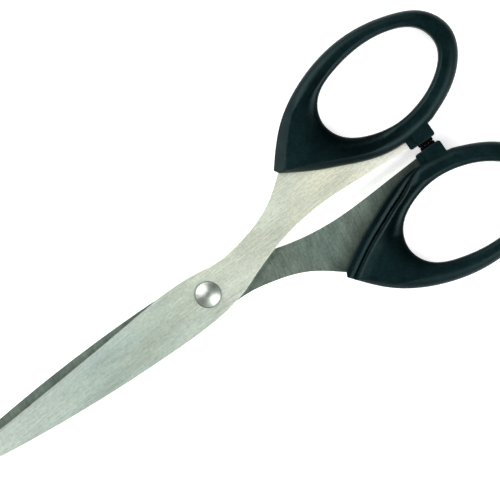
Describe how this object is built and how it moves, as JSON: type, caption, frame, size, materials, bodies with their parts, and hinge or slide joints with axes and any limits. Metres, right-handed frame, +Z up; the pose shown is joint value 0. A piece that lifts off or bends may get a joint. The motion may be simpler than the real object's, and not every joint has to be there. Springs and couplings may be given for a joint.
{
  "type": "fabric shears",
  "caption": "Flat shears with two ground steel blades turning on a domed rivet, black moulded finger loops and rubber-faced stop blocks.",
  "frame": {"origin": "on the pivot rivet's axis, on the surface that the closed shears lie on", "axes": "+X from the tips towards the finger loops, +Y towards the front half's finger loop, +Z up out of the rivet's domed head"},
  "size_m": [0.21, 0.0812, 0.009],
  "materials": {
    "blade_steel": "fine brushed stainless steel",
    "handle_plastic": "satin moulded black plastic",
    "rivet_polish": "polished steel",
    "buffer_rubber": "dull black rubber"
  },
  "bodies": {
    "back_half": {"back_blade": "blade_steel", "back_handle": "handle_plastic", "back_stop_buffer": "buffer_rubber", "pivot_rivet": "rivet_polish", "rivet_washer": "rivet_polish"},
    "front_half": {"front_blade": "blade_steel", "front_handle": "handle_plastic", "front_stop_buffer": "buffer_rubber"}
  },
  "joints": [
    {"name": "pivot", "type": "hinge", "parent": "back_half", "child": "front_half", "pos_m": [0, 0, 0.0045], "axis": [0, 0, 1], "range_deg": [0, 135]}
  ]
}
